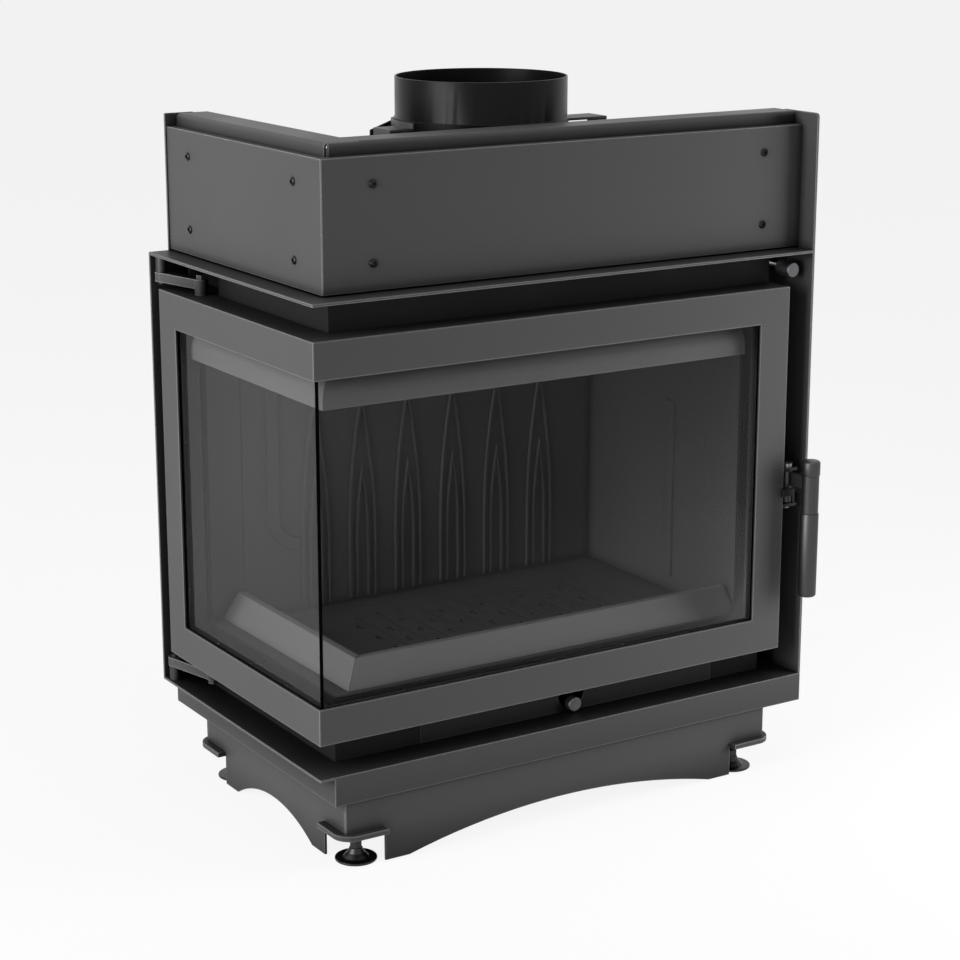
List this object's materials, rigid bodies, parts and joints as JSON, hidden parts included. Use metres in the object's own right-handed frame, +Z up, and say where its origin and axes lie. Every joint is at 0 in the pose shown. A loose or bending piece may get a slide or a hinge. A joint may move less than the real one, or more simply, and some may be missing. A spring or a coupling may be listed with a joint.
{
  "type": "corner fireplace insert",
  "caption": "Corner wood-burning fireplace insert with an L-shaped glass door hinged at the left rear, a hood with a round flue collar, pull knobs for air and damper, and an arched base.",
  "frame": {"origin": "on the floor, under the middle of the outline", "axes": "+X to the right along the front, +Y to the rear, +Z up; the door's front leg faces -Y and its side leg faces -X"},
  "size_m": [0.67, 0.444, 0.844],
  "materials": {
    "black_steel": "satin black heat-resistant paint",
    "door_paint": "fine-textured anthracite paint",
    "heat_paint": "matt black heat-resistant paint",
    "cast_iron": "cast, matt",
    "bare_steel": "zinc plated",
    "foot_steel": "blackened, turned",
    "knob_steel": "satin black",
    "black_screws": "black oxide",
    "ceramic_glass": "clear, faintly tinted",
    "rope_seal": "braided glass fibre",
    "board": "pressed vermiculite"
  },
  "bodies": {
    "casing": {"base_front": "black_steel", "base_left": "black_steel", "base_right": "black_steel", "base_rear": "black_steel", "foot_brackets": "black_steel", "tray": "black_steel", "side_plate": "black_steel", "rear_plate": "black_steel", "lip_frame": "black_steel", "hinge_pins": "bare_steel", "firebox_shell": "heat_paint", "lower_panel": "black_steel", "hearth_plate": "cast_iron", "back_lining": "cast_iron", "right_lining": "cast_iron", "air_wash_canopy": "heat_paint", "smoke_baffle": "board", "smoke_dome": "heat_paint", "flue_collar": "heat_paint", "hood_rim_front": "black_steel", "hood_rim_left": "black_steel", "cover_panel_front": "black_steel", "cover_panel_left": "black_steel", "cover_screws": "black_screws", "inlet_spigot": "heat_paint", "damper_bearings": "bare_steel", "rod_guides": "black_steel", "latch_keeper": "bare_steel"},
    "door": {"door_top_front": "door_paint", "door_top_left": "door_paint", "door_bottom_front": "door_paint", "door_bottom_left": "door_paint", "latch_stile": "door_paint", "hinge_stile": "door_paint", "front_glass": "ceramic_glass", "side_glass": "ceramic_glass", "glass_clamps": "heat_paint", "clamp_screws": "bare_steel", "door_gasket": "rope_seal", "hinge_arms": "door_paint", "latch_mount": "black_steel", "latch_pin": "bare_steel"},
    "handle": {"handle_lever": "knob_steel", "handle_cap": "knob_steel", "handle_grip": "knob_steel"},
    "damper_pull_rod": {"damper_rod": "bare_steel", "damper_knob": "knob_steel"},
    "damper": {"damper_shaft": "bare_steel", "damper_flap": "heat_paint"},
    "air_control": {"air_rod": "bare_steel", "air_knob": "knob_steel", "air_shutter": "bare_steel"},
    "fire_grate": {"grate": "cast_iron"},
    "pan": {"ash_pan": "heat_paint"},
    "front_guard": {"log_guard_front": "cast_iron"},
    "left_guard": {"log_guard_left": "cast_iron"},
    "front_left_foot": {"foot_front_left": "foot_steel"},
    "front_right_foot": {"foot_front_right": "foot_steel"},
    "rear_right_foot": {"foot_rear_right": "foot_steel"},
    "rear_left_foot": {"foot_rear_left": "foot_steel"}
  },
  "joints": [
    {"name": "door_swing", "type": "hinge", "parent": "casing", "child": "door", "pos_m": [-0.326, 0.206, 0.38], "axis": [0, 0, -1], "range_deg": [0, 100]},
    {"name": "handle_turn", "type": "hinge", "parent": "door", "child": "handle", "pos_m": [0.313, -0.171, 0.354], "axis": [0, 0, 1], "range_deg": [0, 25]},
    {"name": "damper_pull", "type": "slide", "parent": "casing", "child": "damper_pull_rod", "axis": [0, -1, 0], "range_m": [0, 0.0495]},
    {"name": "damper_turn", "type": "hinge", "parent": "casing", "child": "damper", "pos_m": [0, 0.023, 0.77], "axis": [-1, 0, 0], "range_deg": [0, 90]},
    {"name": "air_pull", "type": "slide", "parent": "casing", "child": "air_control", "axis": [0, -1, 0], "range_m": [0, 0.02]},
    {"name": "grate_lift", "type": "slide", "parent": "casing", "child": "fire_grate", "axis": [0, 0, 1], "range_m": [0, 0.06]},
    {"name": "ash_pan_lift", "type": "slide", "parent": "casing", "child": "pan", "axis": [0, 0, 1], "range_m": [0, 0.06]},
    {"name": "front_guard_lift", "type": "slide", "parent": "casing", "child": "front_guard", "axis": [0, 0, 1], "range_m": [0, 0.05]},
    {"name": "left_guard_lift", "type": "slide", "parent": "casing", "child": "left_guard", "axis": [0, 0, 1], "range_m": [0, 0.05]},
    {"name": "front_left_foot_screw", "type": "slide", "parent": "casing", "child": "front_left_foot", "axis": [0, 0, -1], "range_m": [0, 0.025]},
    {"name": "front_right_foot_screw", "type": "slide", "parent": "casing", "child": "front_right_foot", "axis": [0, 0, -1], "range_m": [0, 0.025]},
    {"name": "rear_right_foot_screw", "type": "slide", "parent": "casing", "child": "rear_right_foot", "axis": [0, 0, -1], "range_m": [0, 0.025]},
    {"name": "rear_left_foot_screw", "type": "slide", "parent": "casing", "child": "rear_left_foot", "axis": [0, 0, -1], "range_m": [0, 0.025]}
  ],
  "couplings": [
    {"joint": "damper_turn", "follows": "damper_pull", "rad_per_m": 31.73},
    {"joint": "ash_pan_lift", "follows": "grate_lift", "ratio": 1}
  ]
}
